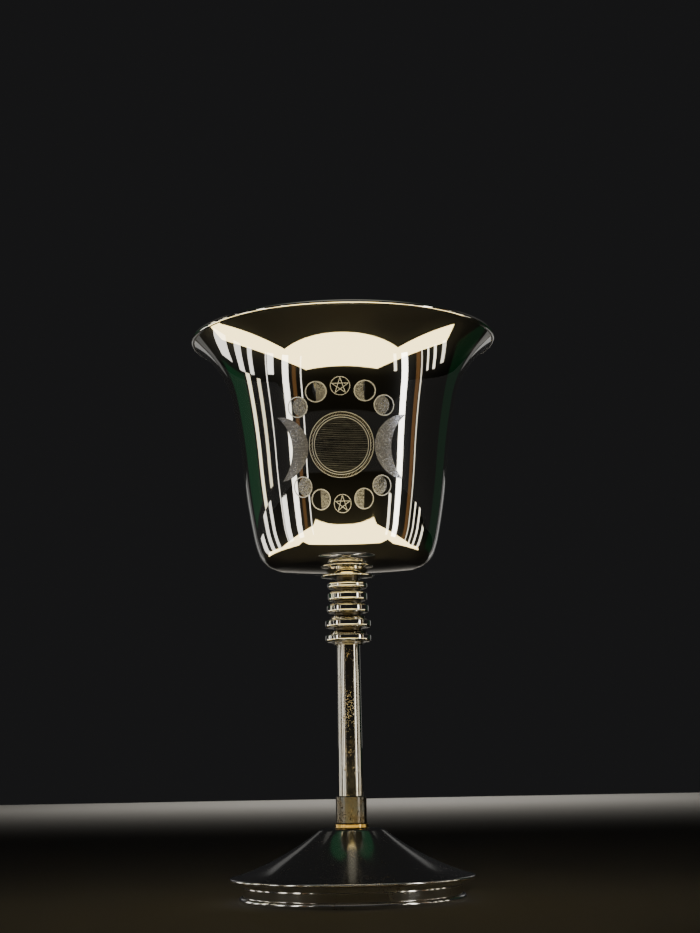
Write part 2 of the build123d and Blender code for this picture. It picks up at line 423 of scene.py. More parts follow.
def makeHatchGroup():
    # parallel engraver's strokes of uneven strength; Lean turns them about the view of the engraving
    tree, given, made = startGroup(
        "hatching",
        {"Pitch": 0.0005, "Lean": 0.0, "Share": 0.5},
        ["Mask"],
    )
    parts = objectParts(tree)
    sine = addNode(tree, "ShaderNodeMath", {0: given.outputs["Lean"]}, operation="SINE").outputs["Value"]
    cosine = addNode(tree, "ShaderNodeMath", {0: given.outputs["Lean"]}, operation="COSINE").outputs["Value"]
    up = math2(tree, "MULTIPLY", parts["Z"], cosine)
    across = math2(tree, "ADD", up, math2(tree, "MULTIPLY", parts["X"], sine))
    steps = math2(tree, "DIVIDE", across, given.outputs["Pitch"])
    wave = math2(tree, "ABSOLUTE", math2(tree, "SUBTRACT", math2(tree, "FRACT", steps, 0.0), 0.5), 0.0)
    strength = noise(tree, objectPlace(tree, (120.0, 120.0, 1400.0)), 1.0, 3.0)
    edge = math2(tree, "MULTIPLY", given.outputs["Share"], ramp(tree, strength, 0.3, 0.7, 0.2, 1.0))
    mask = ramp(tree, math2(tree, "SUBTRACT", wave, math2(tree, "MULTIPLY", edge, 0.5)), 0.05, -0.05)
    tree.links.new(mask, made.inputs["Mask"])
    return tree


handlingGroup = makeHandlingGroup()
pittingGroup = makePittingGroup()
tarnishGroup = makeTarnishGroup()
grooveShadeGroup = makeGrooveShadeGroup()
turningGroup = makeTurningGroup()
hatchGroup = makeHatchGroup()


def useGroup(tree, group, output, **values):
    node = tree.nodes.new("ShaderNodeGroup")
    node.node_tree = group
    for label, value in values.items():
        node.inputs[label.replace("_", " ")].default_value = value
    return node.outputs[output]


def finishShader(tree, inputs):
    shader = addNode(tree, "ShaderNodeBsdfPrincipled", inputs)
    output = addNode(tree, "ShaderNodeOutputMaterial")
    tree.links.new(shader.outputs["BSDF"], output.inputs["Surface"])


def metal(name, finish):
    # a metal from a finish: its colour and polish, and what lies over them
    material, tree = newTree(name)
    marks = {
        "Clean": finish["clean"], "Smeared": finish["smeared"],
        "Smear_Size": finish.get("smearSize", 60.0), "Rub_Depth": finish.get("rubDepth", 1.0),
    }
    roughness = useGroup(tree, handlingGroup, "Roughness", **marks)
    height = useGroup(tree, handlingGroup, "Height", **marks)
    colour = None
    for layer in finish.get("layers", ()):
        values = {key: value for key, value in layer.items() if key[0].isupper()}
        mask = useGroup(tree, layer["group"], "Mask", **values)
        colour = mixColours(tree, mask, colour or finish["colour"], layer["colour"])
        roughness = math2(tree, "ADD", roughness, math2(tree, "MULTIPLY", mask, layer["roughness"]))
        height = math2(tree, "SUBTRACT", height, math2(tree, "MULTIPLY", mask, layer.get("sunk", 0.0)))
    if "turning" in finish:
        rings = useGroup(tree, turningGroup, "Height", **finish["turning"])
        height = math2(tree, "ADD", height, rings)
    bump = addNode(tree, "ShaderNodeBump", {
        "Height": height, "Strength": 1.0, "Distance": finish.get("relief", 0.0000004),
    })
    inputs = {
        "Metallic": 1.0, "Roughness": roughness, "Normal": bump.outputs["Normal"],
        "Base Color": colour or (*finish["colour"], 1.0),
    }
    if "haze" in finish:
        inputs.update({"Coat Weight": finish["haze"], "Coat Roughness": 0.32, "Coat IOR": 1.45})
    finishShader(tree, inputs)
    return material


silver = (0.90, 0.87, 0.80)
yellowed = (0.70, 0.55, 0.30)
brown = (0.22, 0.15, 0.09)
silverPlate = metal("silverPlate", {"colour": silver, "clean": 0.02, "smeared": 0.06, "haze": 0.25})
cupInside = metal("cupInside", {
    "colour": (0.88, 0.85, 0.78), "clean": 0.08, "smeared": 0.16, "smearSize": 40.0,
    "turning": {"Pitch": 0.0005, "Depth": 2.0},
    "layers": [{"group": tarnishGroup, "colour": (0.78, 0.68, 0.48), "roughness": 0.05, "Size": 35.0}],
})
engravedLine = metal("engravedLine", {
    "colour": (0.48, 0.50, 0.56), "clean": 0.40, "smeared": 0.55, "smearSize": 900.0,
})
engravedFill = metal("engravedFill", {
    "colour": (0.36, 0.37, 0.42), "clean": 0.20, "smeared": 0.36, "smearSize": 700.0, "relief": 0.000012,
    "layers": [
        {"group": pittingGroup, "colour": (0.13, 0.13, 0.15), "roughness": 0.2, "sunk": 1.0,
         "Amount": 0.9, "Grain": 2000.0, "Low": 1.0, "High": 2.0},
        {"group": hatchGroup, "colour": (0.20, 0.21, 0.24), "roughness": 0.0, "Pitch": 0.0011, "Share": 0.2},
    ],
})
hatchedDisc = metal("hatchedDisc", {
    "colour": (0.60, 0.58, 0.54), "clean": 0.08, "smeared": 0.13, "smearSize": 200.0, "haze": 0.15,
    "layers": [{"group": hatchGroup, "colour": (0.36, 0.37, 0.40), "roughness": 0.26, "sunk": 1.0,
                "Pitch": 0.00055, "Share": 0.22}],
})
hatchedRing = metal("hatchedRing", {
    "colour": (0.40, 0.38, 0.35), "clean": 0.05, "smeared": 0.12,
    "layers": [{"group": hatchGroup, "colour": (0.40, 0.37, 0.33), "roughness": 0.3, "sunk": 2.0,
                "Pitch": 0.0006, "Lean": -0.9, "Share": 0.4}],
})
turnedPlate = metal("turnedPlate", {
    "colour": silver, "clean": 0.035, "smeared": 0.09, "smearSize": 160.0, "haze": 0.12,
    "turning": {"Pitch": 0.00012, "Depth": 1.5},
    "layers": [
        {"group": tarnishGroup, "colour": (0.80, 0.74, 0.60), "roughness": 0.10, "Size": 210.0,
         "Start": 0.56, "Full": 0.85},
        # painted shade: near-black colour in the grooves and close to the axis, partly standing for grime
        {"group": grooveShadeGroup, "colour": (0.07, 0.06, 0.045), "roughness": 0.25},
        {"group": pittingGroup, "colour": brown, "roughness": 0.3, "sunk": 8.0,
         "Amount": 0.25, "Grain": 2200.0, "Low": 0.08, "High": 0.1},
    ],
})
stemPlate = metal("stemPlate", {
    "colour": (0.60, 0.57, 0.49), "clean": 0.04, "smeared": 0.12, "smearSize": 130.0, "haze": 0.15,
    "relief": 0.0000012,
    "layers": [
        {"group": tarnishGroup, "colour": yellowed, "roughness": 0.10, "Size": 120.0,
         "Start": 0.52, "Full": 0.8},
        {"group": pittingGroup, "colour": brown, "roughness": 0.35, "sunk": 10.0,
         "Amount": 0.42, "Grain": 1900.0, "Low": 0.028, "High": 0.072},
    ],
})
wornPlate = metal("wornPlate", {
    "colour": (0.10, 0.10, 0.095), "clean": 0.16, "smeared": 0.30, "smearSize": 300.0, "relief": 0.000003,
    "layers": [
        {"group": tarnishGroup, "colour": (0.13, 0.105, 0.075), "roughness": 0.08, "Size": 230.0,
         "Start": 0.46, "Full": 0.62},
        {"group": pittingGroup, "colour": (0.04, 0.03, 0.02), "roughness": 0.3, "sunk": 4.0,
         "Amount": 0.5, "Grain": 1900.0, "Low": 1.0, "High": 2.0},
    ],
})
bareBrass = metal("bareBrass", {
    "colour": (0.46, 0.31, 0.10), "clean": 0.12, "smeared": 0.26, "smearSize": 420.0,
    "turning": {"Pitch": 0.00015, "Depth": 2.0},
    "layers": [{"group": tarnishGroup, "colour": (0.38, 0.22, 0.08), "roughness": 0.2, "Size": 330.0,
                "Start": 0.54, "Full": 0.78}],
})
footPlate = metal("footPlate", {
    "colour": (0.84, 0.82, 0.77), "clean": 0.10, "smeared": 0.17, "smearSize": 45.0, "haze": 0.35,
    "turning": {"Pitch": 0.0003, "Depth": 2.5},
    "layers": [{"group": pittingGroup, "colour": brown, "roughness": 0.3, "sunk": 6.0,
                "Amount": 0.2, "Grain": 1500.0, "Low": 0.0, "High": 0.03}],
})
footUnderside = metal("footUnderside", {
    "colour": (0.72, 0.66, 0.54), "clean": 0.26, "smeared": 0.42, "smearSize": 50.0, "relief": 0.000002,
    "turning": {"Pitch": 0.0006, "Depth": 3.0},
    "layers": [
        {"group": tarnishGroup, "colour": (0.50, 0.36, 0.18), "roughness": 0.12, "Size": 70.0,
         "Start": 0.42, "Full": 0.7},
        {"group": pittingGroup, "colour": (0.15, 0.11, 0.08), "roughness": 0.3, "sunk": 5.0,
         "Amount": 0.5, "Grain": 1300.0, "Low": 0.0, "High": 0.03},
    ],
})
zincSteel = metal("zincSteel", {
    "colour": (0.56, 0.57, 0.58), "clean": 0.24, "smeared": 0.38, "smearSize": 260.0, "relief": 0.000001,
    "layers": [
        {"group": tarnishGroup, "colour": (0.42, 0.38, 0.30), "roughness": 0.15, "Size": 300.0},
        {"group": pittingGroup, "colour": (0.24, 0.20, 0.17), "roughness": 0.2, "sunk": 3.0,
         "Amount": 0.4, "Grain": 2000.0, "Low": 1.0, "High": 2.0},
    ],
})


def makeFibre():
    material, tree = newTree("washerFibre")
    mottle = useGroup(tree, tarnishGroup, "Mask", Size=900.0, Start=0.35, Full=0.7)
    colour = mixColours(tree, mottle, (0.10, 0.045, 0.025), (0.19, 0.10, 0.06))
    bump = addNode(tree, "ShaderNodeBump", {"Height": mottle, "Distance": 0.00001})
    roughness = ramp(tree, mottle, 0.0, 1.0, 0.62, 0.8)
    finishShader(tree, {"Base Color": colour, "Roughness": roughness, "Normal": bump.outputs["Normal"]})
    return material


washerFibre = makeFibre()
print("materials made")


# Cup

cup = {
    "wall": 0.9,
    "floorRadius": 21.86, "floorRise": 0.85,   # end of the crowned bottom
    "heelRadius": 28.0, "heelRise": 5.5,
    "bellyRadius": 29.55, "bellyRise": 11.0,
    "waistRadius": 32.9, "waistDrop": 42.5,   # below the mouth
    "neckRadius": 36.2, "neckDrop": 20.6,
    "beadRadius": 0.75,
    "sides": 256,
    "rowSpacing": 1.1,
}

engraving = {
    "middle": 41.15,         # the disc's middle below the mouth
    "wrapRadius": 33.0,      # a length along the surface is this radius times the angle
    "depth": 0.05,
    "line": 0.24,            # width of an engraved line
    "ringPoints": 128,       # points round a ring of the disc, and round a small mark
    "markPoints": 56,
    "windowColumns": 34,     # half the window's width, in sides of the cup
    "windowHalfHeight": 24.0,
    "windowLeastRadius": 27.0,
    "gridGap": 0.35,         # the mesh's own points stay this far from an outline
    "discRings": (9.95, 9.0, 8.35),
    "moonRadius": 3.05,
    "moonRing": 0.36,
    "moonShift": 1.25,       # how far a gibbous moon's edge is moved in from its ring
    "starRadius": 2.75,
    "circleRadius": 17.75,   # circle that the small moons and the stars stand on
    "circleStep": 23.4,      # degrees from one to the next
    "hornRadius": 9.8, "hornCentre": 20.1,
    "hollowRadius": 13.0, "hollowCentre": 28.7,
}


def cupProfile():
    base, top = heights("cup_bowl")
    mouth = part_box("cup_bowl")[1].x / mm
    centre = Vector((mouth - cup["beadRadius"], top - cup["beadRadius"]))
    intoBead = cup["wall"] / 2 * math.sin(math.pi / 4)
    ends = [
        (cup["floorRadius"], base + cup["floorRise"]),
        (cup["heelRadius"], base + cup["heelRise"]),
        (cup["bellyRadius"], base + cup["bellyRise"]),
        (cup["waistRadius"], top - cup["waistDrop"]),
        (cup["neckRadius"], top - cup["neckDrop"]),
        centre + Vector((intoBead, -intoBead)),
    ]
    outer = tangentChain((0, base), Vector((1, 0)), ends, cup["rowSpacing"])
    outer = [(r, z, *Vector((nr, nz)).normalized()) for r, z, nr, nz in outer]
    # on a hollow arc the metal is still on the left, so every outward side is turned to the right of the run
    inner = flipped(moved(outer, -cup["wall"]))
    return beadStretch(centre, cup["beadRadius"], outer, inner)


print("cup started")
outerWall, lipBead, innerWall = cupProfile()


def circlePoints(centre, radius, count=64, start=0.0, sweep=2 * math.pi):
    whole = math.isclose(sweep, 2 * math.pi)
    steps = count if whole else count + 1
    return [
        Vector((
            centre[0] + radius * math.cos(start + sweep * i / count),
            centre[1] + radius * math.sin(start + sweep * i / count),
        ))
        for i in range(steps)
    ]


def lineCircle(centre, radius, width, count):
    # the two edges of a line that runs round a circle
    return [circlePoints(centre, radius + width / 2, count), circlePoints(centre, radius - width / 2, count)]


def ringPlaces():
    # the ten small marks: each one's centre, what it shows, and the side that it is on
    step = engraving["circleStep"]
    marks = []
    for up in (1, -1):
        for number, kind in ((0, "star"), (1, "half"), (2, "gibbous")):
            for side in ((1,) if number == 0 else (1, -1)):
                angle = math.radians(90 - number * step)
                centre = Vector((side * math.cos(angle), up * math.sin(angle))) * engraving["circleRadius"]
                marks.append((centre, kind, side))
    return marks


def starStrokes(centre):
    # five strokes, each from one tip to the next but one
    radius = engraving["starRadius"] - engraving["line"]
    tips = [
        centre + Vector((math.sin(2 * math.pi * i / 5), math.cos(2 * math.pi * i / 5))) * radius
        for i in range(5)
    ]
    return [(tips[i], tips[(i + 2) % 5]) for i in range(5)]


def strokeOutline(start, end, width):
    along = (end - start).normalized()
    aside = Vector((-along.y, along.x)) * width / 2
    return [start - aside, end - aside, end + aside, start + aside]


def hornPoints(side):
    # a crescent with its belly towards the disc
    outerR, outerC = engraving["hornRadius"], engraving["hornCentre"]
    hollowR, hollowC = engraving["hollowRadius"], engraving["hollowCentre"]
    # where the two circles cross
    apart = hollowC - outerC
    x = (apart ** 2 + outerR ** 2 - hollowR ** 2) / (2 * apart)
    tip = math.atan2(math.sqrt(outerR ** 2 - x ** 2), x)
    hollowTip = math.atan2(math.sqrt(outerR ** 2 - x ** 2), x - apart)
    belly = circlePoints((outerC, 0), outerR, 48, tip, 2 * math.pi - 2 * tip)
    hollow = circlePoints((hollowC, 0), hollowR, 36, 2 * math.pi - hollowTip, 2 * hollowTip - 2 * math.pi)
    return [Vector((side * p.x, p.y)) for p in belly + hollow[1:-1]]


def outlines():
    # every closed outline in the window, as points along and up the surface
    shapes = []
    line = engraving["line"]
    count = engraving["markPoints"]
    for radius in engraving["discRings"]:
        shapes += lineCircle((0, 0), radius, line, engraving["ringPoints"])
    for side in (1, -1):
        shapes.append(hornPoints(side))
    for centre, kind, side in ringPlaces():
        moon = engraving["moonRadius"]
        ring = engraving["moonRing"]
        if kind == "star":
            shapes += lineCircle(centre, engraving["starRadius"], line, count)
            shapes += [strokeOutline(a, b, line) for a, b in starStrokes(centre)]
            continue
        shapes += lineCircle(centre, moon, ring, count)
        inside = moon - ring / 2
        if kind == "half":
            shapes.append([centre + Vector((0, -inside)), centre + Vector((0, inside))])
        else:
            cut = centre + Vector((-side * engraving["moonShift"], 0))
            shapes.append(circlePoints(cut, inside, count))
    return shapes


def engravedKind(point):
    # the number of the finish: 0 polished, 1 line, 2 stippled, 3 hatched disc, 4 hatched ring
    half = engraving["line"] / 2
    distance = point.length
    rings = engraving["discRings"]
    if any(abs(distance - radius) < half for radius in rings):
        return 1
    if distance < rings[2]:
        return 3
    if rings[1] < distance < rings[0]:
        return 4
    for side in (1, -1):
        outer = (point - Vector((side * engraving["hornCentre"], 0))).length < engraving["hornRadius"]
        hollow = (point - Vector((side * engraving["hollowCentre"], 0))).length < engraving["hollowRadius"]
        if outer and not hollow:
            return 2
    moon, ring = engraving["moonRadius"], engraving["moonRing"] / 2
    for centre, kind, side in ringPlaces():
        away = point - centre
        if away.length > moon + ring:
            continue
        if kind == "star":
            if abs(away.length - engraving["starRadius"]) < half:
                return 1
            for a, b in starStrokes(centre):
                along = (b - a).normalized()
                run = (point - a).dot(along)
                if 0 < run < (b - a).length and abs((point - a).cross(along)) < half:
                    return 1
            return 0
        if away.length > moon - ring:
            return 1
        if kind == "half":
            return 2 if away.x * side < 0 else 0
        return 2 if (away + Vector((side * engraving["moonShift"], 0))).length < moon - ring else 0
    return 0


def nearOutline(point, edges, gap):
    a, b = edges[:, :2], edges[:, 2:]
    run = b - a
    share = np.clip(((point - a) * run).sum(1) / np.maximum((run ** 2).sum(1), 1e-12), 0, 1)
    nearest = a + run * share[:, None]
    return (np.hypot(*(nearest - point).T) < gap).any()


def windowMesh(rows, middle, half, columnStep):
    # the window's flat mesh along and up the surface: its points, its triangles, and for each point
    # the (row, column) of the wall's own vertex that it stands on, if it lies on the border
    drawn = outlines()
    edgeEnds = []
    for shape in drawn:
        edgeEnds += [(*a, *b) for a, b in zip(shape, shape[1:] + shape[:1])]
    edgeEnds = np.array(edgeEnds)
    flat, edges, atBorder = [], [], {}
    columns = range(-half, half + 1)
    for row, height in enumerate(rows):
        for column in columns:
            spot = (column * columnStep, height - middle)
            border = row in (0, len(rows) - 1) or abs(column) == half
            if border:
                atBorder[row, column] = len(flat)
            elif nearOutline(np.array(spot), edgeEnds, engraving["gridGap"]):
                continue
            flat.append(Vector(spot))
    for column in (-half, half):
        edges += [(atBorder[row, column], atBorder[row + 1, column]) for row in range(len(rows) - 1)]
    for row in (0, len(rows) - 1):
        edges += [(atBorder[row, column], atBorder[row, column + 1]) for column in columns[:-1]]
    for shape in drawn:
        start, count = len(flat), len(shape)
        flat += shape
        edges += [(start + i, start + (i + 1) % count) for i in range(count if count > 2 else 1)]
    points, _, triangles, sources, _, _ = delaunay_2d_cdt(flat, edges, [], 1, 1e-5)
    borderOf = {index: cell for cell, index in atBorder.items()}
    places = [next((borderOf[i] for i in came if i in borderOf), None) for came in sources]
    return points, triangles, places


def buildCup():
    sides = cup["sides"]
    middle = heights("cup_bowl")[1] - engraving["middle"]
    wrap = engraving["wrapRadius"]
    half = engraving["windowColumns"]
    front = sides * 3 // 4  # the side that faces -Y
    wall = np.array(outerWall)
    inWindow = [i for i, row in enumerate(wall) if abs(row[1] - middle) <= engraving["windowHalfHeight"]]
    inWindow = [i for i in inWindow if wall[i, 0] > engraving["windowLeastRadius"]]
    low, high = inWindow[0], inWindow[-1]

    def skip(first, second, k):
        return low <= first < high and second == first + 1 and front - half <= k < front + half

    vertices, faces, corners, _, firstOf = turnedFaces([outerWall, lipBead, innerWall], sides, skip)
    insideStart = firstOf[len(outerWall) + len(lipBead) - 1]
    kinds = [5 if min(face) >= insideStart else 0 for face in faces]
    rows = wall[low:high + 1, 1]
    columnStep = 2 * math.pi / sides * wrap
    flatPoints, triangles, places = windowMesh(rows, middle, half, columnStep)

    def onWall(point, depth):
        radius, outR, outZ = (float(np.interp(point.y + middle, wall[:, 1], wall[:, i])) for i in (0, 2, 3))
        angle = point.x / wrap - math.pi / 2
        out = Vector((outR * math.cos(angle), outR * math.sin(angle), outZ)).normalized()
        spot = Vector((radius * math.cos(angle), radius * math.sin(angle), point.y + middle))
        return (spot - out * depth) * mm, out

    made = {}

    def vertexFor(i, sunk):
        if (i, sunk) not in made:
            if places[i] and not sunk:
                row, column = places[i]
                made[i, sunk] = firstOf[low + row] + (front + column) % sides
            else:
                made[i, sunk] = len(vertices)
                vertices.append(onWall(flatPoints[i], engraving["depth"] if sunk else 0)[0])
        return made[i, sunk]

    sharing = {}
    for face in triangles:
        a, b, c = (flatPoints[i] for i in face)
        if (b - a).cross(c - a) < 0:
            face = face[::-1]
        kind = engravedKind((a + b + c) / 3)
        faces.append([vertexFor(i, kind > 0) for i in face])
        corners.append([onWall(flatPoints[i], 0)[1] for i in face])
        kinds.append(kind)
        for i, j in zip(face, face[1:] + face[:1]):
            sharing.setdefault((min(i, j), max(i, j)), []).append((i, j, kind > 0))
    for both in sharing.values():
        if len(both) == 2 and both[0][2] != both[1][2]:
            i, j = next((i, j) for i, j, sunk in both if not sunk)
            step = [vertexFor(j, False), vertexFor(i, False), vertexFor(i, True), vertexFor(j, True)]
            a, b, c = (Vector(vertices[v]) for v in step[:3])
            faces.append(step)
            corners.append([(b - a).cross(c - a).normalized()] * 4)
            kinds.append(1)
    materials = [silverPlate, engravedLine, engravedFill, hatchedDisc, hatchedRing, cupInside]
    place(meshPiece("cupBowl", vertices, faces, corners, materials, kinds), "cup_bowl", "cup", "cup_plate")


buildCup()


# Threads

thread = {
    "pitch": 0.8,
    "depth": 0.42,
    "runOut": 0.5,     # length over which the groove fades
    "rowStep": 0.1,
    "sides": 40,
}


def makeThreadTree():
    # cuts a right-handed V groove into a turned rod between two heights
    tree = bpy.data.node_groups.new("cutThread", "GeometryNodeTree")
    tree.is_modifier = True
    tree.interface.new_socket(name="Geometry", in_out="INPUT", socket_type="NodeSocketGeometry")
    for label in ("Pitch", "Depth", "Low", "High", "Run Out"):
        tree.interface.new_socket(name=label, in_out="INPUT", socket_type="NodeSocketFloat")
    tree.interface.new_socket(name="Material", in_out="INPUT", socket_type="NodeSocketMaterial")
    tree.interface.new_socket(name="Geometry", in_out="OUTPUT", socket_type="NodeSocketGeometry")
    given, made = tree.nodes.new("NodeGroupInput"), tree.nodes.new("NodeGroupOutput")
    spot = addNode(tree, "GeometryNodeInputPosition").outputs["Position"]
    parts = addNode(tree, "ShaderNodeSeparateXYZ", {"Vector": spot})
    angle = math2(tree, "ARCTAN2", parts.outputs["Y"], parts.outputs["X"])
    turn = math2(tree, "DIVIDE", angle, 2 * math.pi)
    steps = math2(tree, "DIVIDE", parts.outputs["Z"], given.outputs["Pitch"])
    phase = math2(tree, "FRACT", math2(tree, "SUBTRACT", steps, turn), 0.0)
    flank = math2(tree, "ABSOLUTE", math2(tree, "SUBTRACT", phase, 0.5), 0.0)
    groove = ramp(tree, flank, 0.44, 0.06)
    rise = ramp(tree, parts.outputs["Z"], given.outputs["Low"], math2(
        tree, "ADD", given.outputs["Low"], given.outputs["Run Out"]))
    fall = ramp(tree, parts.outputs["Z"], given.outputs["High"], math2(
        tree, "SUBTRACT", given.outputs["High"], given.outputs["Run Out"]))
    cut = math2(tree, "MULTIPLY", math2(tree, "MULTIPLY", rise, fall), groove)
    sunk = math2(tree, "MULTIPLY", cut, given.outputs["Depth"])
    flat = addNode(tree, "ShaderNodeCombineXYZ", {"X": parts.outputs["X"], "Y": parts.outputs["Y"]})
    inward = addNode(tree, "ShaderNodeVectorMath", {0: flat.outputs["Vector"]}, operation="NORMALIZE")
    shift = addNode(tree, "ShaderNodeVectorMath", {
        0: inward.outputs["Vector"], "Scale": math2(tree, "MULTIPLY", sunk, -1.0),
    }, operation="SCALE")
    shifted = addNode(tree, "GeometryNodeSetPosition", {
        "Geometry": given.outputs["Geometry"], "Offset": shift.outputs["Vector"],
    })
    solid = addNode(tree, "GeometryNodeRealizeInstances", {"Geometry": shifted.outputs["Geometry"]})
    coated = addNode(tree, "GeometryNodeSetMaterial", {
        "Geometry": solid.outputs["Geometry"], "Material": given.outputs["Material"],
    })
    tree.links.new(coated.outputs["Geometry"], made.inputs["Geometry"])
    return tree


threadTree = makeThreadTree()


def cutThread(piece, low, high, material):
    modifier = piece.modifiers.new("thread", "NODES")
    modifier.node_group = threadTree
    values = {
        "Pitch": thread["pitch"] * mm, "Depth": thread["depth"] * mm, "Low": low * mm, "High": high * mm,
        "Run Out": thread["runOut"] * mm, "Material": material,
    }
    for item in threadTree.interface.items_tree:
        if item.in_out == "INPUT" and item.name in values:
            modifier[item.identifier] = values[item.name]
    graph = bpy.context.evaluated_depsgraph_get()
    made = bpy.data.meshes.new_from_object(piece.evaluated_get(graph), depsgraph=graph)
    piece.modifiers.remove(modifier)
    piece.data = made
    made.set_sharp_from_angle(angle=math.radians(32))


def threadedRows(radius, low, high):
    # a rod's side from low to high, in rows close enough for the thread
    count = max(1, round((high - low) / thread["rowStep"]))
    return [(radius, low + (high - low) * i / count, 1, 0) for i in range(count + 1)]


def rodPiece(name, stretches, material):
    vertices, faces, _, _, _ = turnedFaces(stretches, thread["sides"])
    mesh = bpy.data.meshes.new(name)
    mesh.from_pydata(vertices, [], faces)
    mesh.materials.append(material)
    mesh.polygons.foreach_set("use_smooth", [True] * len(mesh.polygons))
    piece = bpy.data.objects.new(name, mesh)
    bpy.context.scene.collection.objects.link(piece)
    return piece


# Saucer, stud and washer under the cup

saucer = {
    "radius": 8.4, "edge": 0.5, "dish": 0.3,
    "neckRadius": 3.7, "neckHeight": 1.1,
    "bossRadius": 5.6, "bossFlare": 1.2,
    "bore": 2.53,
    "recessRadius": 4.03, "recessDepth": 0.8,   # for the stud's head
    "sides": 128,
}

stud = {
    "radius": 2.5, "headRadius": 4.0, "bevel": 0.4,
    "plainLength": 1.6,     # under the head, where no thread is cut
    "washerBore": 2.55,
}

washerSides = 96


def buildSaucer():
    base = heights("cup_saucer")[0]
    cupBase = heights("cup_bowl")[0]
    neckTop = base + saucer["neckHeight"]
    edge = saucer["edge"] / 2
    edgeCentre = (saucer["radius"] - edge, neckTop + saucer["dish"] + edge)
    neck, bore, recess = saucer["neckRadius"], saucer["bore"], saucer["recessRadius"]
    dish, _ = tangentStretch((neck, neckTop), Vector((1, 0)), (edgeCentre[0], edgeCentre[1] - edge), 0.5)
    flat = edgeCentre[1] + edge
    boss = saucer["bossRadius"]
    bossTop = boss + saucer["bossFlare"]
    floor = cupBase - saucer["recessDepth"]
    turnedPiece("cupSaucer", [
        *lineStretches((bore, base), (neck, base), (neck, neckTop)),
        dish,
        arcStretch(edgeCentre, edge, -math.pi / 2, math.pi / 2, math.radians(15)),
        *lineStretches(
            (edgeCentre[0], flat), (boss, flat), (bossTop, cupBase + saucerCrown(bossTop)),
            (recess, cupBase + saucerCrown(recess)), (recess, floor), (bore, floor), (bore, base),
        ),
    ], saucer["sides"], turnedPlate, "cup_saucer", "cup", "turned_plate")


def saucerCrown(radius):
    # rise of the cup's crowned underside at a radius
    crown = cup["floorRadius"] ** 2 / (2 * cup["floorRise"]) + cup["floorRise"] / 2
    return crown - math.sqrt(crown ** 2 - radius ** 2)


def buildStud():
    tip = heights("cup_stud")[0]
    cupBase = heights("cup_bowl")[0]
    neck = cupBase - saucer["recessDepth"]
    radius, bevel, head = stud["radius"], stud["bevel"], stud["headRadius"]
    piece = rodPiece("cupStud", [
        *lineStretches((0, tip), (radius - bevel, tip), (radius, tip + bevel)),
        threadedRows(radius, tip + bevel, neck),
        *lineStretches((radius, neck), (head, neck), (head, cupBase + saucerCrown(head)), (0, cupBase)),
    ], bareBrass)
    cutThread(piece, tip - thread["runOut"] / 2, neck - stud["plainLength"], bareBrass)
    place(piece, "cup_stud", "cup", "bare_brass")


def buildStudWasher():
    low, high = heights("stud_washer")
    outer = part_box("stud_washer")[1].x / mm
    bore = stud["washerBore"]
    corners = [(bore, low, 0.05), (outer, low, 0.1), (outer, high, 0.1), (bore, high, 0.05)]
    outline = roundedOutline(corners)
    turnedPiece("studWasher", outline, washerSides, washerFibre, "stud_washer", "washer", "washer_fibre")


buildSaucer()
buildStud()
buildStudWasher()


# Knop

knop = {
    # rings from the top down: radius, height, height of the sloping shoulder, rounding
    "rings": [
        (6.4, 2.0, 0.0, 0.8),
        (6.3, 2.8, 0.0, 0.8),
        (6.7, 2.7, 0.0, 0.8),
        (7.3, 3.6, 1.5, 0.8),
        (7.3, 3.4, 1.4, 0.8),
    ],
    "grooveHeight": 1.1, "grooveRadius": 4.3, "grooveRounding": 0.3,
    "shoulderRun": 1.9, "shoulderRounding": 0.6,
    "lipRadius": 4.7, "lipHeight": 0.9, "lipRounding": 0.2,
    "studHole": 2.55, "studHoleDepth": 8.7,
    "rodHole": 2.53, "rodHoleDepth": 8.0,
    "seatRadius": 3.68, "seatDepth": 2.5,
    "sides": 128,
}


def knopRings(top):
    # up the right-hand side of the knop, from the lip to its top
    corners = []
    height = top
    last = len(knop["rings"]) - 1
    for number, (radius, ring, shoulder, rounding) in enumerate(knop["rings"]):
        if shoulder:
            corners.append((radius - knop["shoulderRun"], height, knop["shoulderRounding"] / 2))
            corners.append((radius, height - shoulder, knop["shoulderRounding"]))
        else:
            corners.append((radius, height, rounding))
        height -= ring
        corners.append((radius, height, rounding))
        if number < last:
            corners.append((knop["grooveRadius"], height, knop["grooveRounding"]))
            height -= knop["grooveHeight"]
            corners.append((knop["grooveRadius"], height, knop["grooveRounding"]))
    corners.append((knop["lipRadius"], height, knop["lipRounding"]))
    corners.append((knop["lipRadius"], height - knop["lipHeight"], knop["lipRounding"]))
    return corners[::-1]


def buildKnop():
    base, top = heights("stem_knop")
    studHole, rodHole, seat = knop["studHole"], knop["rodHole"], knop["seatRadius"]
    studEnd = top - knop["studHoleDepth"]
    corners = [
        (0, base + knop["rodHoleDepth"], 0),
        (rodHole, base + knop["rodHoleDepth"], 0),
        (rodHole, base + knop["seatDepth"], 0),
        (seat, base + knop["seatDepth"], 0),
        (seat, base, 0.1),
    ]
    corners += knopRings(top)
    corners += [(studHole, top, 0.25), (studHole, studEnd, 0), (0, studEnd, 0)]
    turnedPiece(
        "stemKnop", roundedOutline(corners), knop["sides"], turnedPlate, "stem_knop", "stem", "turned_plate"
    )


buildKnop()


# Stem tube, ferrule, brass ring and tie rod

stem = {
    "tubeBore": 2.85, "tubeFoot": 3.9, "tubeTop": 3.65,
    "ferruleBore": 3.93, "ferruleRadius": 4.78, "ferruleBevel": 0.35,
    "ringBore": 2.75, "ringRounding": 0.41,
    "sides": 128,
}

tieRod = {
    "radius": 2.5, "bevel": 0.4,
    "lowThread": 13.0, "highThread": 9.0,     # threaded lengths at the two ends
}


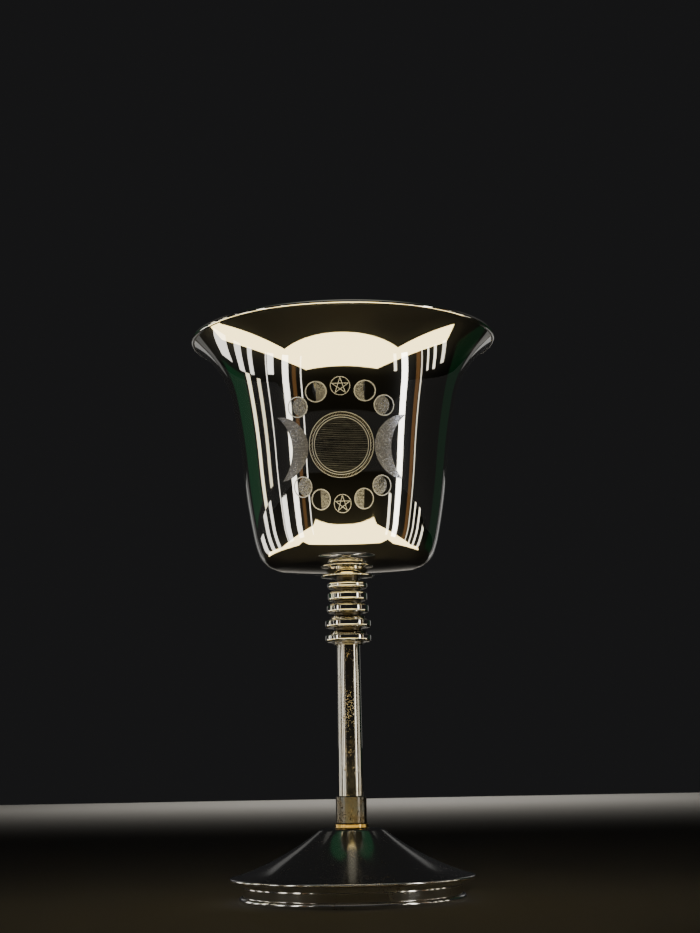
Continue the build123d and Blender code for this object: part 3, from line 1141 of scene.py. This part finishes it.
def buildStemTube():
    low, high = heights("stem_tube")
    ferruleTop = heights("stem_ferrule")[1]
    knopBase = heights("stem_knop")[0]
    bore, footRadius, topRadius = stem["tubeBore"], stem["tubeFoot"], stem["tubeTop"]
    corners = [
        (bore, low, 0.1),
        (footRadius, low, 0.1),
        (footRadius, ferruleTop, 0),
        (topRadius, knopBase, 0),
        (topRadius, high, 0.1),
        (bore, high, 0.1),
    ]
    turnedPiece(
        "stemTube", roundedOutline(corners), stem["sides"], stemPlate, "stem_tube", "stem", "stem_plate"
    )


def buildFerrule():
    low, high = heights("stem_ferrule")
    bore, outer = stem["ferruleBore"], stem["ferruleRadius"]
    corners = [(bore, low, 0), (outer, low, 0.15), (outer, high, stem["ferruleBevel"]), (bore, high, 0.05)]
    turnedPiece(
        "stemFerrule", roundedOutline(corners), stem["sides"], wornPlate, "stem_ferrule", "stem", "worn_plate"
    )


def buildStemRing():
    low, high = heights("stem_ring")
    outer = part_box("stem_ring")[1].x / mm
    bore, rounding = stem["ringBore"], stem["ringRounding"]
    corners = [(bore, low, 0.1), (outer, low, rounding), (outer, high, rounding), (bore, high, 0.1)]
    turnedPiece(
        "stemRing", roundedOutline(corners), stem["sides"], bareBrass, "stem_ring", "stem", "bare_brass"
    )


def buildTieRod():
    low, high = heights("tie_rod")
    radius, bevel = tieRod["radius"], tieRod["bevel"]
    lowEnd, highStart = low + tieRod["lowThread"], high - tieRod["highThread"]
    side = threadedRows(radius, low + bevel, lowEnd) + threadedRows(radius, highStart, high - bevel)
    piece = rodPiece("tieRod", [
        *lineStretches((0, low), (radius - bevel, low), (radius, low + bevel)),
        side,
        *lineStretches((radius, high - bevel), (radius - bevel, high), (0, high)),
    ], zincSteel)
    cutThread(piece, low - thread["runOut"] / 2, lowEnd, zincSteel)
    cutThread(piece, highStart, high + thread["runOut"] / 2, zincSteel)
    place(piece, "tie_rod", "stem", "plain_steel")


buildStemTube()
buildFerrule()
buildStemRing()
buildTieRod()


# Foot

foot = {
    "wall": 0.9,
    "holeRadius": 2.75,
    "crownRadius": 8.7,
    "shoulderRadius": 10.5, "shoulderDrop": 0.62,
    "sweepRadius": 22.7, "sweepHeight": 13.3,
    "flangeHeight": 7.4,      # upper surface at the flange's edge
    "beadRadius": 0.55,
    "sides": 256,
}

band = {
    "overhang": 4.1,          # how far the flange stands out past the band
    "wall": 1.1,
    "cove": 2.6,
    "score": 2.7, "scoreDepth": 0.18,
    "beadOverhang": 1.2,
    "sides": 256,
}


def footRows():
    top = heights("foot_shell")[1]
    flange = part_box("foot_shell")[1].x / mm - foot["beadRadius"]
    ends = [
        (foot["shoulderRadius"], top - foot["shoulderDrop"]),
        (foot["sweepRadius"], foot["sweepHeight"]),
        (flange, foot["flangeHeight"]),
    ]
    return tangentChain((foot["crownRadius"], top), Vector((1, 0)), ends, 0.8), top, flange


footUpper, footTop, flangeRadius = footRows()
footLower = moved(footUpper, foot["wall"])


def buildFootShell():
    centre = (flangeRadius, foot["flangeHeight"] - foot["wall"] / 2)
    # the chain's own order is that of the underside, so the upper side is turned round
    under, edge, over = beadStretch(centre, foot["beadRadius"], footLower, flipped(footUpper))
    hole, crown = foot["holeRadius"], foot["crownRadius"]
    crownUnder = footTop - foot["wall"]
    stretches = [
        lineStretch((hole, crownUnder), (crown, crownUnder)),
        under, edge, over,
        *lineStretches((crown, footTop), (hole, footTop), (hole, crownUnder)),
    ]
    vertices, faces, corners, points, firstOf = turnedFaces(stretches, foot["sides"])
    upperStart = firstOf[len(under) + len(edge) // 2]
    kinds = []
    for face in faces:
        inHole = max(face) >= firstOf[-1] and min(face) < foot["sides"]
        kinds.append(0 if inHole or min(face) >= upperStart else 1)
    piece = meshPiece("footShell", vertices, faces, corners, [footPlate, footUnderside], kinds)
    place(piece, "foot_shell", "stem", "foot_plate")


def underFoot(radius):
    # height of the shell's underside at a radius
    return float(np.interp(radius, [row[0] for row in footLower], [row[1] for row in footLower]))


def buildBand():
    low = heights("foot_band")[0]
    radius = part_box("foot_shell")[1].x / mm - band["overhang"]
    bore = radius - band["wall"]
    score, depth, cove = low + band["score"], band["scoreDepth"], band["cove"]
    coveStart = score + depth
    # the cove runs out until it meets the shell
    coveRows = [
        row for row in arcStretch((radius + cove, coveStart), -cove, math.pi, math.pi / 2, math.radians(3))
        if row[1] < underFoot(row[0])
    ]
    tip = coveRows[-1][:2]
    seat = [(r, underFoot(r)) for r in np.linspace(tip[0] + 0.05, bore, 6)]
    turnedPiece("footBand", [
        *lineStretches(
            (bore, low), (radius, low), (radius, score - depth), (radius - depth, score), (radius, coveStart)
        ),
        coveRows,
        *lineStretches(tip, *seat, (bore, low)),
    ], band["sides"], footPlate, "foot_band", "stem", "foot_plate")
    low, high = heights("foot_bead")
    half = (high - low) / 2
    outer = radius + band["beadOverhang"] - half
    turnedPiece("footBead", [
        lineStretch((bore, low), (outer, low)),
        arcStretch((outer, low + half), half, -math.pi / 2, math.pi / 2, math.radians(12)),
        *lineStretches((outer, high), (bore, high), (bore, low)),
    ], band["sides"], footPlate, "foot_bead", "stem", "foot_plate")


def buildFootWasher():
    low, high = heights("foot_washer")
    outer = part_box("foot_washer")[1].x / mm
    hole = foot["holeRadius"]
    corners = [(hole, low, 0.1), (outer, low, 0.25), (outer, high, 0.05), (hole, high, 0.1)]
    turnedPiece(
        "footWasher", roundedOutline(corners), washerSides, zincSteel, "foot_washer", "stem", "plain_steel"
    )


def finishFasteners():
    for node in ("spring_washer", "hex_nut"):
        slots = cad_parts[node].data.materials
        slots.clear()
        slots.append(zincSteel)


buildFootShell()
buildBand()
buildFootWasher()
finishFasteners()
print("foot made")


# Stage and light

stage = {
    "half": 1.6,             # metres from the middle of the floor to its sides
    "colour": (0.72, 0.70, 0.66, 1),
    "roughness": 0.9,
}


def makeFloor():
    material, tree = newTree("paleFloor")
    finishShader(tree, {
        "Base Color": stage["colour"], "Roughness": stage["roughness"], "Specular IOR Level": 0.0,
    })
    mesh = bpy.data.meshes.new("floor")
    half = stage["half"]
    corners = [(-half, -half, 0), (half, -half, 0), (half, half, 0), (-half, half, 0)]
    mesh.from_pydata(corners, [], [(0, 1, 2, 3)])
    mesh.materials.append(material)
    floor = bpy.data.objects.new("floor", mesh)
    bpy.context.scene.collection.objects.link(floor)


# colours of the light
white = (1.0, 1.0, 1.0)
nearWhite = (1.0, 0.98, 0.93)
brightWhite = (1.0, 0.98, 0.92)
lampWhite = (1.0, 0.95, 0.80)
cream = (1.0, 0.93, 0.68)
amber = (0.9, 0.42, 0.12)
green = (0.05, 1.0, 0.35)

light = {
    "ring": 0.31,            # metres from the axis to the upright strips
    # upright strips: azimuth and width in degrees round the goblet, lowest and highest point, glow, colour
    "strips": [
        (-123, 10, 0.0, 0.10, 1.8, nearWhite),
        (-107, 7, 0.0, 0.11, 1.8, nearWhite),
        (-94, 5, 0.0, 0.11, 1.8, nearWhite),
        (-71, 7, 0.0, 0.10, 2.4, (1.0, 0.99, 0.95)),
        (-55, 6.5, 0.0, 0.20, 3, brightWhite),
        (-101, 5.5, 0.11, 0.20, 2.2, cream),
        (-87, 4.5, 0.12, 0.20, 1.5, cream),
        (-76, 1.2, 0.0, 0.20, 2, nearWhite),
        (-46, 4, 0.0, 0.20, 0.12, amber),
        (-39, 1.2, 0.0, 0.20, 2, nearWhite),
        (52, 3, 0.0, 0.09, 2.5, lampWhite),
        (62, 6.5, 0.0, 0.20, 6, brightWhite),
        (77, 4.5, 0.0, 0.20, 0.14, amber),
        (81, 1.4, 0.0, 0.20, 1.5, lampWhite),
        (88, 2, 0.0, 0.10, 2.5, lampWhite),
        (96, 3, 0.0, 0.10, 2.5, lampWhite),
        (106, 4, 0.0, 0.09, 2, lampWhite),
        (-120, 26, 0.12, 0.20, 0.030, green),
        (131, 22, 0.04, 0.20, 0.012, green),
        (-142, 5, 0.05, 0.17, 0.10, white),
        (-150, 8, 0.05, 0.17, 0.28, white),
        (-158, 5, 0.05, 0.17, 0.10, white),
        (147, 5, 0.05, 0.17, 0.12, white),
        (154, 7, 0.05, 0.17, 0.36, white),
        (161, 5, 0.05, 0.17, 0.12, white),
    ],
    # pale cards that lie face up round a dark middle: left, right, near and far edges
    "cards": [
        (-0.31, 0.31, -0.45, -0.145),
        (-0.31, -0.21, -0.145, 0.20),
        (0.21, 0.31, -0.145, 0.10),
    ],
    "cardRise": 0.004,
    "cardGlow": 4.5,
    "cardColour": (1.0, 0.81, 0.38),
    # pairs of panels high up behind: place of the right one, width, height, glow, colour
    "high": {
        "highGreen": ((0.09, 0.18, 0.49), 0.15, 0.14, 0.03, green),
        "highGrey": ((0.35, 0.25, 0.40), 0.25, 0.25, 0.05, (1.0, 0.98, 0.94)),
    },
    "highAim": (0, 0, 0.02),
    # lamps that light the floor alone: place, aim, size, glow, spread in degrees
    "floorLamps": {
        "overhead": ((0, 1.5, 1.0), (0, 1.45, 0), 0.6, 0.9, 70),
        "fill": ((0, 0.1, 1.4), (0, 0, 0), 0.5, 0.08, 120),
    },
    "darkRoom": (0.011, 0.011, 0.0115),
    "softTop": (0.22, 0.22, 0.21),
    "topUp": 0.94, "topFront": 0.34,         # direction of the soft top, up and towards the front
    "topStart": 0.74, "topFull": 0.96,       # how near to that direction it starts, and is full
}


def panel(name, spot, aim, width, tall, glow, colour):
    # a rectangle of light that the metal shows; glow is its brightness, whatever its size
    data = bpy.data.lights.new(name, "AREA")
    data.shape = "RECTANGLE"
    data.size = width
    data.size_y = tall
    data.energy = glow * math.pi * width * tall
    data.color = colour
    lamp = bpy.data.objects.new(name, data)
    lamp.location = spot
    lamp.rotation_euler = (Vector(aim) - Vector(spot)).to_track_quat("-Z", "Y").to_euler()
    lamp.visible_camera = False
    lamp.visible_diffuse = False
    bpy.context.scene.collection.objects.link(lamp)
    return lamp


def floorLight(name, spot, aim, size, glow, spread):
    lamp = panel(name, spot, aim, size, size, glow, (1.0, 0.97, 0.92))
    lamp.data.spread = math.radians(spread)
    lamp.visible_diffuse = True
    lamp.visible_glossy = False


def card(name, left, right, near, far):
    middle = Vector(((left + right) / 2, (near + far) / 2, light["cardRise"]))
    above = middle + Vector((0, 0, 1))
    panel(name, middle, above, right - left, far - near, light["cardGlow"], light["cardColour"])


def makeWorld():
    world = bpy.data.worlds.new("studio")
    world.use_nodes = True
    tree = world.node_tree
    way = addNode(tree, "ShaderNodeTexCoord").outputs["Generated"]
    parts = addNode(tree, "ShaderNodeSeparateXYZ", {"Vector": way})
    # brightest overhead and a little in front, dark at eye level and behind
    height = math2(tree, "MULTIPLY", parts.outputs["Z"], light["topUp"])
    upAndFront = math2(tree, "ADD", height, math2(tree, "MULTIPLY", parts.outputs["Y"], -light["topFront"]))
    glow = ramp(tree, upAndFront, light["topStart"], light["topFull"])
    sky = mixColours(tree, glow, light["darkRoom"], light["softTop"])
    tree.links.new(sky, tree.nodes["Background"].inputs["Color"])
    world.cycles_visibility.diffuse = False   # the floor has its own lamps
    bpy.context.scene.world = world


def makeLight():
    ring = light["ring"]
    for number, (azimuth, span, low, high, glow, colour) in enumerate(light["strips"]):
        angle = math.radians(azimuth)
        middle = (low + high) / 2
        spot = (math.sin(angle) * ring, -math.cos(angle) * ring, middle)
        panel(f"strip{number}", spot, (0, 0, middle), math.radians(span) * ring, high - low, glow, colour)
    for number, edges in enumerate(light["cards"]):
        card(f"card{number}", *edges)
    for side in (-1, 1):
        for name, (spot, width, tall, glow, colour) in light["high"].items():
            panel(f"{name}{side}", (side * spot[0], *spot[1:]), light["highAim"], width, tall, glow, colour)
    for name, values in light["floorLamps"].items():
        floorLight(name, *values)


makeFloor()
makeWorld()
makeLight()
print("stage and light made")
